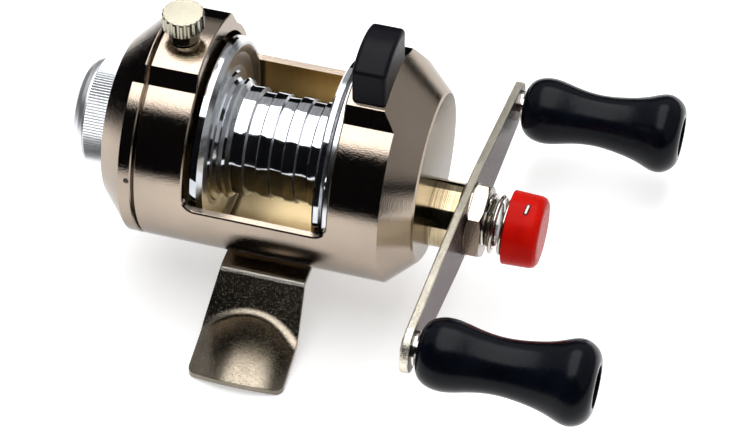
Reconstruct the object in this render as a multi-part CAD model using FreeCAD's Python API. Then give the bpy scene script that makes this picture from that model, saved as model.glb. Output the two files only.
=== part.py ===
import FreeCAD, Part
import math
import os

# Small metal ice fishing reel with a geared crank.
# Millimetres, +Z up, +X along the spool axis towards the crank, +Y to the back.
# The origin is the middle of the foot, level with the lowest edges of its tips.

V = FreeCAD.Vector

# Fits and small clearances
RUN = 0.04               # radial running clearance of shafts, spindles and bushes
SIDE_GAP = 0.25          # axial clearance between turning and fixed faces
SWITCH_GAP = 0.12        # under the sliding switch block and the thumbscrew's neck

# Gear train: the drive gear on the crank turns the pinion on the spool shaft
MODULE = 0.5
GEAR_TEETH = 18
PINION_TEETH = 10
GEAR_T = 2.2             # face width of both
GEAR_ADDENDUM = 0.42
GEAR_DEDENDUM = 0.62
BACKLASH = 0.10
SHAFT_DROP = MODULE * (GEAR_TEETH + PINION_TEETH) / 2

# Round body
BODY_R = 16.0
WALL = 1.1
BORE_R = BODY_R - WALL
SEAT_H = 9.4             # underside of the round body above the rod seat
AXIS_Z = SEAT_H + BODY_R
DRIVE_Z = AXIS_Z - SHAFT_DROP
PARTING_X = -16.5        # left end of the body, where the end cap starts
CONE_X = 18.7            # right end of the cylindrical part
FACE_X = 22.8            # flat right-hand end face
CONE_DROP = 3.8          # how much smaller the end face's radius is
FACE_BEVEL = 0.22        # broken edge round the end face
EDGE = 0.2               # broken edges of the window's front and of the parting line
WINDOW_X0 = -9.4
WINDOW_X1 = 11.4
WINDOW_CORNER = 2.0
WINDOW_BACK = 1.5        # how much higher the back edge lies than the front edge

# Raised pad along the top, by angles from straight up about the spool axis
PAD_H = 1.6
PAD_R = BODY_R + PAD_H
PAD_ANGLE = 19.3         # half width of the round top of the pad
PAD_EDGE = 0.35          # rounding of its front edge
PAD_FOOT_ANGLE = 28.1    # where the front facet meets the round body
SHOULDER_ANGLE = 30.8    # outer edge of the rear facet
SHOULDER_FOOT_ANGLE = 47.6

# End cap
CAP_BAND = 2.2           # width of the round band beside the parting line
CAP_GROOVE = 0.35        # parting groove
CAP_END_X = -22.6
CAP_DROP = 4.1           # radius lost from the band to the flat end
SPIGOT_FIT = 0.05
SPIGOT_WALL = 1.3
CAP_FLOOR = 2.0
DOWEL_R = 0.4
DOWEL_ANGLE = -78.0

# Thumbscrew that locks the cap
THUMB_X = -13.4
THUMB_HEAD_R = 2.97
THUMB_HEAD_H = 2.55
THUMB_NECK_R = 2.15
THUMB_NECK_H = 2.0
THUMB_SHANK_R = 1.46
THUMB_DEPTH = 4.0        # shank below the pad's top
THUMB_FLUTES = 18

# Spool and shaft
AXLE_R = 1.5
JOURNAL_R = 1.0
DRUM_R = 7.3
BAND_H = 0.3
FLANGE_GAP = 0.5         # between the flanges and the bore
FLANGE_R = BORE_R - FLANGE_GAP
SPOOL_X0 = -9.0
FLANGE_T = 1.9
FLANGE_SLOPE = 0.7       # width and height of the sloped edge inside the left flange's rim
RIM_T = 1.4
DRUM_BANDS = 7

# Gear chamber, from left to right
PLATE_X = 10.6
PLATE_T = 0.8
SPOOL_X1 = PLATE_X - 0.4
CHAMBER_X = PLATE_X + PLATE_T
ROD_W = 2.4              # square push rod
ROD_HEAD_R = 2.1
ROD_HEAD_T = 0.4
BUTTON_STROKE = GEAR_T + 0.1
GEAR_X = CHAMBER_X + 0.3 + BUTTON_STROKE + ROD_HEAD_T
RATCHET_X = GEAR_X + GEAR_T + 0.5
RATCHET_T = 0.9
RATCHET_R = 4.4
RATCHET_TEETH = 12
WALL_X = RATCHET_X + RATCHET_T + 0.9
HUB_R = 2.3              # hub of the drive gear
CLIP_T = 0.3
POST_R = 1.2
POST_ANGLES = (60.0, 150.0, 210.0, 300.0)
POST_AT = BORE_R - POST_R - 0.3
SCREW_R = 0.8

# Ball bearing in the cap
BEARING_R = 3.0
BEARING_W = 2.3
BALLS = 9
BALL_R = 0.4

# Bushes
SPOOL_BUSH_T = 0.9
DRIVE_R = 3.5            # hollow drive shaft
BUSH_R = DRIVE_R + 0.8
COLLAR_R = 4.9
COLLAR_L = 3.95
FLANGE_SHAFT_R = BUSH_R - 0.2

# Crank
ARM_X = FACE_X + COLLAR_L + SIDE_GAP
ARM_T = 1.25
ARM_REACH = 31.75        # drive shaft to knob spindle
ARM_ANGLE = -11.7        # the rear end hangs this many degrees below level
ARM_MID_W = 10.6
ARM_END_R = 3.5
ARM_EDGE = 0.25          # rounding of the arm's edges
FLAT_W = 5.8             # across the shaft's two flats
WASHER_T = 0.25
WASHER_R = 5.3
NUT_AF = 10.0
NUT_T = 2.1
NUT_TURN = -45.0         # one corner faces the front and up
NUT_X = ARM_X + ARM_T + WASHER_T
NUT_FACE_X = NUT_X + NUT_T
SHAFT_END_X = NUT_FACE_X + 1.8

# Release button and its spring
BUTTON_X = NUT_FACE_X + 3.2
BUTTON_L = 5.0
BUTTON_R = 5.3
BUTTON_WALL = 0.85
BUTTON_DEPTH = 2.2
SPRING_WIRE_R = 0.3
SPRING_R = BUTTON_R - BUTTON_WALL - SPRING_WIRE_R - 0.13
SPRING_TURNS = 3.5

# Crank knobs
KNOB_GAP = 0.7
KNOB_X = ARM_X + ARM_T + KNOB_GAP
KNOB_L = 24.1
KNOB_BIG_R = 5.9
KNOB_SMALL_R = 4.95
KNOB_WAIST_R = 3.9
KNOB_RECESS_R = 2.95
KNOB_RECESS = 5.0
SPINDLE_R = 1.5
SPINDLE_HEAD_R = 2.5

# Tension knob
TENSION_X1 = CAP_END_X - 0.2
TENSION_L = 6.3
TENSION_X0 = TENSION_X1 - TENSION_L
TENSION_NOSE = 2.3       # smooth outer end, left of the groove
TENSION_R = 7.8
TENSION_TEETH = 116
TENSION_KNURL = 0.17     # depth of the knurl
TENSION_FLOOR = 2.2
TENSION_PAD_T = 0.35
BOSS_R = 5.0
BOSS_X = TENSION_X0 + TENSION_FLOOR + TENSION_PAD_T + 0.15

# Switch on the pad, its stem and the click pawl
SWITCH_X0 = 12.1
SWITCH_X1 = 17.0
SWITCH_Y0 = -5.3
SWITCH_Y1 = 5.0
SWITCH_SIDE_H = 4.7      # side height above the pad
SWITCH_CROWN = 1.4
SWITCH_TRAVEL = 6.0      # degrees about the spool axis, to the back
FORK_X = GEAR_X + 1.1
FORK_T = 1.1
STEM_X = FORK_X + FORK_T / 2
STEM_R = 0.5
STEM_TIP_R = 11.7        # radius of the stem's inner end about the spool axis
FORK_SLOT = 0.3          # clearance each side of the stem
PAWL_UP = 8.0            # pawl pivot above the spool axis
PAWL_PIN_R = 0.8
PAWL_HUB_R = 1.6
PAWL_GAP = 0.42          # nose of the pawl to the tips of the ratchet
PAWL_TAIL = 4.6          # tail that balances the nose
PAWL_TAIL_H = 1.4

# Foot
FOOT_W = 12.7            # at the flat middle
FOOT_TIP_W = 14.2        # at the tips
FOOT_T = 0.85
SADDLE_T = 1.0
SADDLE_L = 12.4
SADDLE_W = 10.4
FOOT_TOP = SEAT_H - SADDLE_T
FOOT_BEND_Y = 9.3
FOOT_SLOPE = 38.8
FOOT_FLARE_Y = 16.0      # where the foot has grown to the width of its tips
FOOT_BEND_R = 1.2        # rounding of the bend
FOOT_CREASE_R = 3.0      # rounding where the slope meets the arched tip
TIP_R = 16.5             # outside radius of the arched tip
TIP_SLOPE = 12.5
TIP_AT_Y = 14.6          # where the arched tip takes over from the slope
TIP_DROP = 4.28           # from the foot's flat top down to the arch there
TIP_Y = 25.4
TIP_CORNER_Y = 23.9
TIP_CORNER_R = 1.6
FOOT_SCREW_X = (-4.0, 4.0)
FOOT_SCREW_R = 1.0
FOOT_SCREW_END = 0.3     # metal left between a foot screw's blind hole and the bore


def cyl(r, x0, x1, y=0.0, z=AXIS_Z):
    """Round bar along X."""
    return Part.makeCylinder(r, x1 - x0, V(x0, y, z), V(1, 0, 0))


def ring(ro, ri, x0, x1, y=0.0, z=AXIS_Z):
    """Tube along X."""
    return cyl(ro, x0, x1, y, z).cut(cyl(ri, x0 - 1, x1 + 1, y, z))


def box(x0, x1, y0, y1, z0, z1):
    return Part.makeBox(x1 - x0, y1 - y0, z1 - z0, V(x0, y0, z0))


def outline_face(points):
    """Flat face through points in order."""
    return Part.Face(Part.makePolygon(points + [points[0]]))


def turned(points, y=0.0, z=AXIS_Z):
    """Solid of revolution about an axis along X, from (x, radius) points."""
    face = outline_face([V(x, y, z + r) for x, r in points])
    return face.revolve(V(0, y, z), V(1, 0, 0), 360)


def prism(points, x0, x1, y=0.0, z=0.0):
    """Outline of (y, z) points drawn out along X."""
    return outline_face([V(x0, y + p, z + q) for p, q in points]).extrude(V(x1 - x0, 0, 0))


def upright(r, x, z0, z1):
    """Round bar along Z in the middle plane of the reel."""
    return Part.makeCylinder(r, z1 - z0, V(x, 0, z0))


def fuse(shapes):
    out = shapes[0]
    for s in shapes[1:]:
        out = out.fuse(s)
    return out.removeSplitter()


def spin(shape, degrees, y=0.0, z=AXIS_Z):
    """Copy turned about an axis along X."""
    out = shape.copy()
    out.rotate(V(0, y, z), V(1, 0, 0), degrees)
    return out


def polar(r, degrees):
    """(y, z) at an angle from straight up, positive to the back."""
    a = math.radians(degrees)
    return r * math.sin(a), r * math.cos(a)


def radial(r, x, degrees, r0, r1):
    """Round bar that points away from the spool axis."""
    y, z = polar(1.0, degrees)
    return Part.makeCylinder(r, r1 - r0, V(x, r0 * y, AXIS_Z + r0 * z), V(0, y, z))


# Round body

def pad(x0, x1):
    """Raised pad with its round top and front facet."""
    a, b = polar(PAD_R, -PAD_ANGLE), polar(PAD_R, PAD_ANGLE)
    foot = polar(BODY_R - 0.2, -PAD_FOOT_ANGLE)
    inner = BORE_R - 4.0
    rest = [b, polar(inner, PAD_ANGLE), polar(inner, -PAD_ANGLE), foot, a]
    pts = [V(x0, y, AXIS_Z + z) for y, z in rest]
    edges = [Part.Arc(pts[-1], V(x0, 0, AXIS_Z + PAD_R), pts[0]).toShape()]
    for p, q in zip(pts[:-1], pts[1:]):
        edges.append(Part.makeLine(p, q))
    solid = Part.Face(Part.Wire(edges)).extrude(V(x1 - x0, 0, 0))
    corner = Part.Vertex(V(x0, a[0], AXIS_Z + a[1]))
    front = [e for e in solid.Edges if e.BoundBox.XLength > 0.1 and e.distToShape(corner)[0] < 0.01]
    return solid.makeFillet(PAD_EDGE, front)


def shoulder(x0, x1):
    """Two flat facets behind the pad."""
    inner = BORE_R - 4.0
    pts = [polar(PAD_R, PAD_ANGLE), polar(PAD_R, SHOULDER_ANGLE)]
    pts += [polar(BODY_R - 0.3, SHOULDER_FOOT_ANGLE), polar(inner, SHOULDER_FOOT_ANGLE)]
    pts += [polar(inner, PAD_ANGLE - 8.0), polar(PAD_R - 1.0, PAD_ANGLE - 8.0)]
    return prism(pts, x0, x1, 0.0, AXIS_Z)


def end_cone(x_edge, x_end, drop, far):
    """Turned space under the cone that runs from the body's edge to a flat end."""
    slope = drop / (x_end - x_edge)
    r_end = BODY_R - drop
    return turned([
        (x_end, 0.0), (x_end, r_end - FACE_BEVEL), (x_end - FACE_BEVEL, r_end + slope * FACE_BEVEL),
        (far, r_end + slope * (x_end - far)), (far, 0.0)])


def window_edges(solid):
    """Outer edges of the window, from its front up to the pad's rear shoulder."""
    back = polar(PAD_R, PAD_ANGLE)[0]
    found = []
    for e in solid.Edges:
        line = e.discretize(7)
        inside = all(WINDOW_X0 - 0.01 < p.x < WINDOW_X1 + 0.01 and p.y < back + 0.01 for p in line)
        outside = all(math.hypot(p.y, p.z - AXIS_Z) > BODY_R - 0.6 for p in line)
        if inside and outside and e.BoundBox.ZMin > AXIS_Z - 0.01:
            found.append(e)
    return found


def parting_edges(solid, x):
    """Edges in the plane of the parting line, from the round body up over the pad."""
    back = polar(PAD_R, PAD_ANGLE)[0]
    flat = [e for e in solid.Edges if e.BoundBox.XLength < 0.01 and abs(e.BoundBox.XMin - x) < 0.01]
    return [e for e in flat if e.BoundBox.YMax < back + 0.1 or e.BoundBox.ZMin < AXIS_Z]


def body_shell():
    outer = fuse([cyl(BODY_R, PARTING_X, FACE_X), pad(PARTING_X, FACE_X), shoulder(PARTING_X, FACE_X)])
    outer = outer.common(end_cone(CONE_X, FACE_X, CONE_DROP, PARTING_X - 1))
    outer = outer.makeChamfer(EDGE, parting_edges(outer, PARTING_X))
    outer = outer.cut(window())
    outer = outer.makeChamfer(EDGE, window_edges(outer))
    shell = outer.cut(cyl(BORE_R, PARTING_X - 1, WALL_X))
    shell = shell.cut(cyl(JOURNAL_R + SPOOL_BUSH_T, WALL_X - 1, FACE_X - 1.0))
    shell = shell.cut(cyl(BUSH_R, WALL_X - 1, FACE_X + 1, 0, DRIVE_Z))
    shell = shell.cut(cyl(PAWL_PIN_R, WALL_X - 1, WALL_X + 2.0, 0, AXIS_Z + PAWL_UP))
    for x_step in range(5):
        angle = SWITCH_TRAVEL * x_step / 4
        shell = shell.cut(radial(STEM_R + 0.3, STEM_X, angle, BORE_R - 2, PAD_R + 2))
    shell = shell.cut(upright(THUMB_SHANK_R + RUN, THUMB_X, AXIS_Z + BORE_R - 1, AXIS_Z + PAD_R + 1))
    for x in FOOT_SCREW_X:
        shell = shell.cut(upright(FOOT_SCREW_R, x, SEAT_H - 1, SEAT_H + WALL - FOOT_SCREW_END))
    return shell.removeSplitter()


def window():
    """Opening over the spool: all above the axis, less at the back, with rounded lower corners."""
    c = WINDOW_CORNER
    halves = []
    for y0, low in ((-2 * BODY_R, AXIS_Z), (0.0, AXIS_Z + WINDOW_BACK)):
        y1 = y0 + 2 * BODY_R
        tool = box(WINDOW_X0, WINDOW_X1, y0, y1, low, AXIS_Z + 2 * BODY_R)
        for x, way in ((WINDOW_X0, 1), (WINDOW_X1, -1)):
            inside = x + way * c
            block = box(min(x, inside), max(x, inside), y0, y1, low, low + c)
            bar = Part.makeCylinder(c, 2 * BODY_R, V(inside, y0, low + c), V(0, 1, 0))
            tool = tool.cut(block.cut(bar))
        halves.append(tool)
    return fuse(halves)


def drive_bush():
    """Flanged bush in the end wall; its collar shows outside."""
    body = cyl(BUSH_R, WALL_X + 0.9, FACE_X, 0, DRIVE_Z)
    collar = cyl(COLLAR_R, FACE_X, FACE_X + COLLAR_L, 0, DRIVE_Z)
    return fuse([body, collar]).cut(cyl(DRIVE_R + RUN, WALL_X, ARM_X, 0, DRIVE_Z))


def side_plate():
    """Disc between the spool and the gears."""
    plate = ring(BORE_R, AXLE_R + SPOOL_BUSH_T, PLATE_X, CHAMBER_X)
    for angle in POST_ANGLES:
        y, z = polar(POST_AT, angle)
        plate = plate.cut(cyl(SCREW_R, PLATE_X - 1, CHAMBER_X + 1, y, AXIS_Z + z))
    return plate


def side_plate_posts():
    """Posts on the end wall that carry the side plate."""
    solids = []
    for angle in POST_ANGLES:
        y, z = polar(POST_AT, angle)
        post = cyl(POST_R, CHAMBER_X, WALL_X, y, AXIS_Z + z)
        solids.append(post.cut(cyl(SCREW_R, CHAMBER_X - 1, CHAMBER_X + 3, y, AXIS_Z + z)))
    return Part.makeCompound(solids)


def side_plate_screws():
    solids = []
    for angle in POST_ANGLES:
        y, z = polar(POST_AT, angle)
        shank = cyl(SCREW_R, PLATE_X, CHAMBER_X + 2.9, y, AXIS_Z + z)
        head = cyl(SCREW_R + 0.3, PLATE_X - 0.25, PLATE_X, y, AXIS_Z + z)
        solids.append(fuse([shank, head]))
    return Part.makeCompound(solids)


# End cap, its bearing and the thumbscrew

def end_cap():
    slope = CAP_DROP / (PARTING_X - CAP_BAND - CAP_END_X)
    right = PARTING_X - CAP_GROOVE
    end_r = BODY_R - CAP_DROP
    blank = fuse([cyl(BODY_R, CAP_END_X, right), pad(CAP_END_X, right), shoulder(CAP_END_X, right)])
    blank = blank.makeChamfer(EDGE, parting_edges(blank, right))
    form = turned([
        (CAP_END_X, 0.0), (CAP_END_X, end_r), (right, end_r + slope * (right - CAP_END_X)), (right, 0.0)])
    spigot_r = BORE_R - SPIGOT_FIT
    spigot_x = THUMB_X + THUMB_SHANK_R + 0.35
    cap = blank.common(form).fuse(cyl(spigot_r, right - 0.5, spigot_x))
    floor = CAP_END_X + CAP_FLOOR
    cap = cap.cut(turned([
        (floor, 0.0), (floor, end_r - 1.6), (right, spigot_r - SPIGOT_WALL),
        (spigot_x + 1, spigot_r - SPIGOT_WALL), (spigot_x + 1, 0.0)]))
    cap = cap.fuse(cyl(BEARING_R + 1.4, floor - 0.5, floor + BEARING_W))
    cap = cap.fuse(cyl(BOSS_R, BOSS_X, CAP_END_X + 0.5))
    cap = cap.cut(cyl(BEARING_R, floor, floor + BEARING_W + 1))
    cap = cap.cut(cyl(AXLE_R + 0.4, BOSS_X - 1, floor + 1))
    cap = cap.cut(upright(THUMB_SHANK_R + RUN, THUMB_X, AXIS_Z + BORE_R - 3, AXIS_Z + BORE_R + 1))
    cap = cap.cut(radial(DOWEL_R, right - 0.6, DOWEL_ANGLE, BODY_R - 1.4, BODY_R + 1))
    return cap.removeSplitter()


def cap_dowel():
    """Small pin that shows as a dark dot on the cap's band."""
    return radial(DOWEL_R, PARTING_X - CAP_GROOVE - 0.6, DOWEL_ANGLE, BODY_R - 1.4, BODY_R - 0.05)


def bearing(part):
    """Ball bearing of the spool shaft: outer or inner ring, or its balls."""
    x0 = CAP_END_X + CAP_FLOOR
    x1 = x0 + BEARING_W
    pitch_r = (BEARING_R + AXLE_R) / 2
    mid = (x0 + x1) / 2
    if part == "balls":
        solids = []
        for k in range(BALLS):
            y, z = polar(pitch_r, 360.0 * k / BALLS)
            solids.append(Part.makeSphere(BALL_R - 0.01, V(mid, y, AXIS_Z + z)))
        return Part.makeCompound(solids)
    groove = Part.makeTorus(pitch_r, BALL_R + RUN, V(mid, 0, AXIS_Z), V(1, 0, 0))
    if part == "outer":
        return ring(BEARING_R, pitch_r + 0.2, x0, x1).cut(groove)
    return ring(pitch_r - 0.2, AXLE_R, x0, x1).cut(groove)


def thumbscrew():
    """Fluted head on a neck, with a shank through the pad into the cap's spigot."""
    z0 = AXIS_Z + PAD_R + THUMB_NECK_H
    z1 = z0 + THUMB_HEAD_H
    pts = []
    for i in range(THUMB_FLUTES * 4):
        r = THUMB_HEAD_R if i % 4 < 2 else THUMB_HEAD_R - 0.28
        a = 2 * math.pi * i / (THUMB_FLUTES * 4)
        pts.append(V(THUMB_X + r * math.cos(a), r * math.sin(a), z0))
    head = outline_face(pts).extrude(V(0, 0, z1 - z0))
    rim = Part.makeCone(THUMB_HEAD_R - 0.25, THUMB_HEAD_R, 0.25, V(THUMB_X, 0, z0))
    crown = upright(THUMB_HEAD_R, THUMB_X, z0 + 0.25, z1 - 0.2)
    chamfer = Part.makeCone(THUMB_HEAD_R, THUMB_HEAD_R - 0.2, 0.2, V(THUMB_X, 0, z1 - 0.2))
    head = head.common(fuse([rim, crown, chamfer]))
    z_pad = AXIS_Z + PAD_R
    neck = upright(THUMB_NECK_R, THUMB_X, z_pad + SWITCH_GAP, z0)
    shank = upright(THUMB_SHANK_R, THUMB_X, z_pad - THUMB_DEPTH, z0)
    return fuse([head, neck, shank])


# Tension knob

def tension_knob():
    """Knurled cup that screws on the cap's boss and loads the end of the spool shaft."""
    groove_x = TENSION_X0 + TENSION_NOSE
    rim = []
    for i in range(2 * TENSION_TEETH):
        r = TENSION_R if i % 2 else TENSION_R - TENSION_KNURL
        rim.append(polar(r, 180.0 * i / TENSION_TEETH))
    grip = prism(rim, groove_x, TENSION_X1, 0.0, AXIS_Z)
    x0 = TENSION_X0
    r = TENSION_R
    nose = turned([
        (groove_x + 0.2, 0.0), (groove_x + 0.2, r - 0.5), (groove_x - 0.35, r - 0.5),
        (groove_x - 0.35, r - 0.25), (x0 + 1.3, r - 0.5), (x0 + 0.55, r - 1.1),
        (x0 + 0.12, r - 1.9), (x0, r - 2.6), (x0, 0.0)])
    return fuse([grip, nose]).cut(cyl(BOSS_R + RUN, x0 + TENSION_FLOOR, TENSION_X1 + 1))


def tension_pad():
    """Fibre disc between the knob and the end of the spool shaft."""
    x0 = TENSION_X0 + TENSION_FLOOR
    return cyl(AXLE_R + 0.9, x0, x0 + TENSION_PAD_T)


# Spool, shaft, pinion and ratchet

def spool():
    """Drum with shallow bands, a dished left flange and a thin right flange."""
    x0, x1 = SPOOL_X0, SPOOL_X1
    inner = x0 + FLANGE_T
    right = x1 - RIM_T
    r, fr = DRUM_R, FLANGE_R
    slope = FLANGE_SLOPE
    pts = [(x0, AXLE_R), (x0, fr - 0.4), (x0 + 0.3, fr), (inner - slope, fr)]
    pts += [(inner, fr - slope), (inner - 0.05, fr - slope - 0.4), (inner - 0.55, fr - slope - 1.6)]
    pts += [(inner - 0.75, r + 2.9), (inner - 0.65, r + 2.2), (inner - 0.35, r + 2.0)]
    pts += [(inner - 0.25, r + 1.2), (inner + 0.2, r + 0.85), (inner + 0.8, r + 1.2)]
    pts += [(inner + 1.15, r + 1.4), (inner + 1.5, r + 1.2), (inner + 2.05, r + 0.6)]
    start = inner + 2.1
    width = (right - 0.8 - start) / DRUM_BANDS
    for i in range(DRUM_BANDS):
        level = r + BAND_H if i % 2 == 0 else r
        if i == 0:
            level = r + 0.55
        pts.append((start + width * i + 0.12, level))
        pts.append((start + width * (i + 1) - 0.12, level))
    pts += [(right - 0.3, r + 0.5), (right, r + 1.2), (right, fr - 0.5), (right + 0.35, fr)]
    pts += [(x1 - 0.35, fr), (x1, fr - 0.35), (x1, AXLE_R)]
    return turned(pts)


def spool_shaft():
    tip = TENSION_X0 + TENSION_FLOOR + TENSION_PAD_T + 0.05
    return turned([
        (tip, 0.0), (tip, AXLE_R - 0.7), (tip + 0.5, AXLE_R), (WALL_X + 0.1, AXLE_R),
        (WALL_X + 0.1, JOURNAL_R), (FACE_X - 1.4, JOURNAL_R), (FACE_X - 1.4, 0.0)])


def gear_outline(teeth):
    """Spur gear with a tooth straight up; the flanks are short chords of an involute."""
    pressure = math.radians(25.0)
    r_pitch = MODULE * teeth / 2
    r_base = r_pitch * math.cos(pressure)
    r_tip = r_pitch + GEAR_ADDENDUM
    r_root = r_pitch - GEAR_DEDENDUM
    half = math.pi / (2 * teeth) - BACKLASH / (2 * r_pitch) + math.tan(pressure) - pressure
    flank = []
    r_start = max(r_base, r_root)
    for i in range(6):
        r = r_start + (r_tip - r_start) * i / 5
        a = math.acos(min(1.0, r_base / r))
        flank.append((r, half - math.tan(a) + a))
    if r_root < r_base:
        flank.insert(0, (r_root, flank[0][1]))
    pts = []
    for k in range(teeth):
        mid = 2 * math.pi * k / teeth
        for r, w in flank:
            pts.append((r * math.sin(mid - w), r * math.cos(mid - w)))
        for r, w in reversed(flank):
            pts.append((r * math.sin(mid + w), r * math.cos(mid + w)))
    return pts


def pinion():
    """Turned so that a gap faces the drive gear's top tooth."""
    blank = prism(gear_outline(PINION_TEETH), GEAR_X, GEAR_X + GEAR_T, 0.0, AXIS_Z)
    down = 180.0 if PINION_TEETH % 2 == 0 else 0.0
    blank = spin(blank, down + 180.0 / PINION_TEETH)
    return blank.cut(cyl(AXLE_R, GEAR_X - 1, GEAR_X + GEAR_T + 1))


def ratchet_wheel():
    pts = []
    for k in range(RATCHET_TEETH):
        step = 360.0 / RATCHET_TEETH
        pts.append(polar(RATCHET_R, step * k))
        pts.append(polar(RATCHET_R - 0.75, step * (k + 0.1)))
        pts.append(polar(RATCHET_R - 0.6, step * (k + 0.4)))
    wheel = prism(pts, RATCHET_X, RATCHET_X + RATCHET_T, 0.0, AXIS_Z)
    hub = cyl(AXLE_R + 0.8, GEAR_X + GEAR_T, RATCHET_X + 0.1)
    return fuse([wheel, hub]).cut(cyl(AXLE_R, GEAR_X, WALL_X))


# Drive shaft, crank arm and nut

def rod_section(x0, x1, width):
    h = width / 2
    return box(x0, x1, -h, h, DRIVE_Z - h, DRIVE_Z + h)


def flats():
    """Space between the drive shaft's two flats, turned with the arm."""
    h = FLAT_W / 2
    slab = box(ARM_X - 0.05, SHAFT_END_X + 1, -8, 8, DRIVE_Z - h, DRIVE_Z + h)
    return spin(slab, ARM_ANGLE, 0.0, DRIVE_Z)


def drive_shaft():
    """Hollow shaft: thrust flange inside, two flats for the arm and a thread for the nut."""
    x = NUT_X
    profile = [(WALL_X - 0.25, 0.0), (WALL_X - 0.25, FLANGE_SHAFT_R), (WALL_X + 0.75, FLANGE_SHAFT_R)]
    profile += [(WALL_X + 0.75, DRIVE_R), (x, DRIVE_R)]
    pitch = 0.7
    turns = int((SHAFT_END_X - 0.4 - x) / pitch)
    for k in range(turns):
        profile.append((x + pitch * (k + 0.25), DRIVE_R - 0.22))
        profile.append((x + pitch * (k + 0.75), DRIVE_R))
    profile += [(SHAFT_END_X - 0.35, DRIVE_R), (SHAFT_END_X, DRIVE_R - 0.4), (SHAFT_END_X, 0.0)]
    shaft = turned(profile, 0.0, DRIVE_Z)
    outer = shaft.common(box(ARM_X - 0.05, SHAFT_END_X + 1, -9, 9, DRIVE_Z - 9, DRIVE_Z + 9))
    shaft = shaft.cut(outer.cut(flats()))
    return shaft.cut(rod_section(WALL_X - 2, SHAFT_END_X + 1, ROD_W + 0.1))


def arm_outline():
    """Flat arm, widest at the hub, level along Y before it is turned; its sides run into the round ends."""
    r, w, reach, hub = ARM_END_R, ARM_MID_W / 2, ARM_REACH, 6.0
    tilt = math.asin(r / math.hypot(reach - hub, w)) - math.atan2(w, reach - hub)
    end_y, end_z = reach - r * math.sin(tilt), r * math.cos(tilt)
    top = [(-end_y, end_z), (-hub, w), (hub, w), (end_y, end_z)]
    low = [(end_y, -end_z), (hub, -w), (-hub, -w), (-end_y, -end_z)]
    top = [V(ARM_X, y, DRIVE_Z + z) for y, z in top]
    low = [V(ARM_X, y, DRIVE_Z + z) for y, z in low]
    edges = [Part.makeLine(p, q) for p, q in zip(top[:-1], top[1:])]
    edges.append(Part.Arc(top[-1], V(ARM_X, reach + r, DRIVE_Z), low[0]).toShape())
    edges += [Part.makeLine(p, q) for p, q in zip(low[:-1], low[1:])]
    edges.append(Part.Arc(low[-1], V(ARM_X, -reach - r, DRIVE_Z), top[0]).toShape())
    return Part.Wire(edges)


def crank_arm():
    arm = Part.Face(arm_outline()).extrude(V(ARM_T, 0, 0))
    arm = arm.makeFillet(ARM_EDGE, [e for e in arm.Edges if e.BoundBox.XLength < 0.01])
    arm = spin(arm, ARM_ANGLE, 0.0, DRIVE_Z)
    arm = arm.cut(cyl(DRIVE_R, ARM_X - 1, NUT_X, 0, DRIVE_Z).common(flats()))
    arm = arm.cut(cyl(DRIVE_R, ARM_X - 1, ARM_X, 0, DRIVE_Z))
    for side in (-1, 1):
        y, z = knob_centre(side)
        arm = arm.cut(cyl(SPINDLE_R, ARM_X - 1, NUT_X, y, z))
    return arm


def knob_centre(side):
    """Spindle position for side -1 (front) or 1 (rear)."""
    a = math.radians(ARM_ANGLE)
    return side * ARM_REACH * math.cos(a), DRIVE_Z + side * ARM_REACH * math.sin(a)


def drive_nut():
    corner = NUT_AF / math.sqrt(3)
    pts = [polar(corner, NUT_TURN + 60.0 * k) for k in range(6)]
    nut = prism(pts, NUT_X, NUT_FACE_X, 0.0, DRIVE_Z)
    dome = turned([
        (NUT_X, 0.0), (NUT_X, corner - 0.35), (NUT_X + 0.25, corner), (NUT_FACE_X - 0.3, corner),
        (NUT_FACE_X, corner - 0.6), (NUT_FACE_X, 0.0)], 0.0, DRIVE_Z)
    return nut.common(dome).cut(cyl(DRIVE_R, NUT_X - 1, NUT_FACE_X + 1, 0, DRIVE_Z))


# Release button, push rod, drive gear and spring

def push_rod():
    """Square rod with a head left of the gear and a round end in the button."""
    head = cyl(ROD_HEAD_R, GEAR_X - ROD_HEAD_T, GEAR_X, 0, DRIVE_Z)
    square = rod_section(GEAR_X - 0.1, BUTTON_X + BUTTON_DEPTH, ROD_W)
    end = cyl(ROD_W / 2, BUTTON_X + BUTTON_DEPTH - 0.1, BUTTON_X + BUTTON_L - 1.2, 0, DRIVE_Z)
    return fuse([head, square, end])


def drive_gear():
    wheel = prism(gear_outline(GEAR_TEETH), GEAR_X, GEAR_X + GEAR_T, 0.0, DRIVE_Z)
    hub = cyl(HUB_R, GEAR_X + GEAR_T - 0.1, WALL_X - 0.7, 0, DRIVE_Z)
    return fuse([wheel, hub]).cut(rod_section(GEAR_X - 1, WALL_X, ROD_W))


def gear_clip():
    """Spring clip on the push rod, right of the gear's hub."""
    clip = cyl(HUB_R - 0.3, WALL_X - 0.7, WALL_X - 0.7 + CLIP_T, 0, DRIVE_Z)
    return clip.cut(rod_section(GEAR_X, WALL_X, ROD_W))


def release_button():
    """Cap with a hollow for the spring and a socket for the push rod."""
    x0, x1, r = BUTTON_X, BUTTON_X + BUTTON_L, BUTTON_R
    skin = turned([
        (x0, 0.0), (x0, r), (x0 + 0.2, r + 0.05), (x1 - 1.0, r - 0.1), (x1 - 0.45, r - 0.3),
        (x1 - 0.1, r - 0.75), (x1, r - 1.3), (x1, 0.0)], 0.0, DRIVE_Z)
    hollow = cyl(r - BUTTON_WALL, x0 - 1, x0 + BUTTON_DEPTH, 0, DRIVE_Z)
    return skin.cut(hollow).cut(push_rod())


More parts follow.
